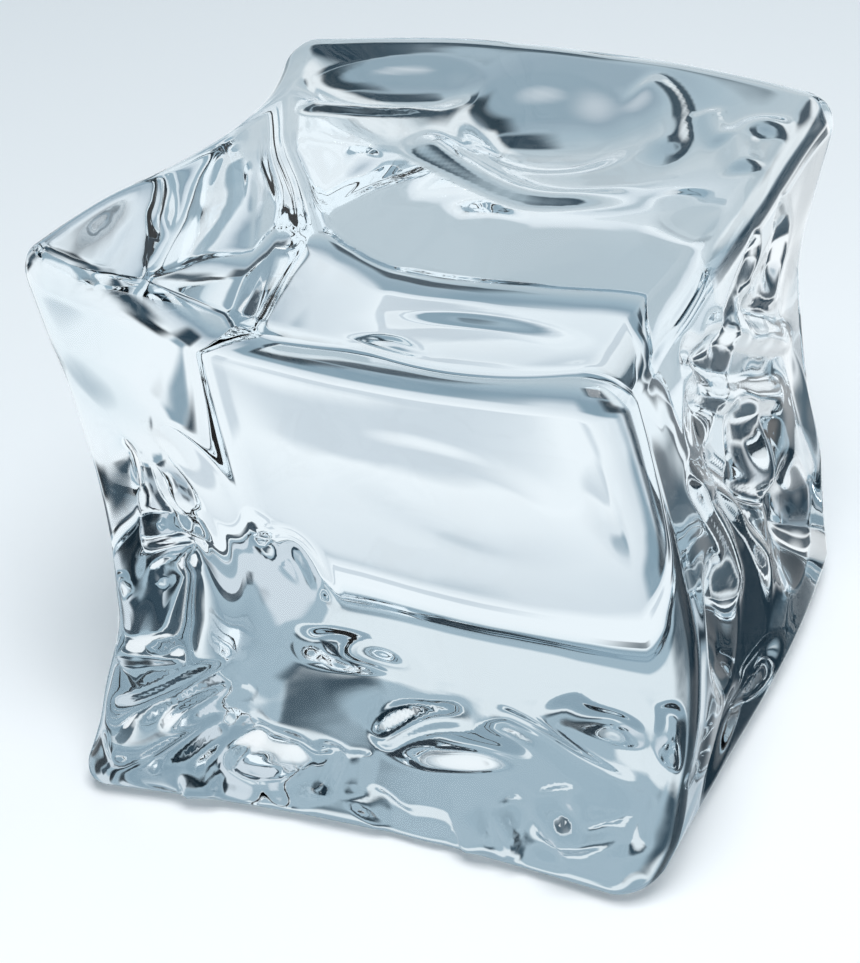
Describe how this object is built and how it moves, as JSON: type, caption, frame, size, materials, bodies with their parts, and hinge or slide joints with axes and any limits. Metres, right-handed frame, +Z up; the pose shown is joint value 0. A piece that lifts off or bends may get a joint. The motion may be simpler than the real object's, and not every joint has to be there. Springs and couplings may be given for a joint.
{
  "type": "ice cube",
  "caption": "Clear, part-melted ice cube: a squarish block with bowed edges, dished faces, rounded corners and melt dents, standing on a flat underside.",
  "frame": {"origin": "middle of the bounding box, on the plane of the flat underside", "axes": "+Z up, -Y out of the front face, +X out of the right face"},
  "size_m": [0.0364, 0.0342, 0.0314],
  "materials": {
    "clear_ice": "clear, wet, gently rippled by melting"
  },
  "bodies": {
    "root": {"ice_cube": "clear_ice"}
  },
  "joints": []
}
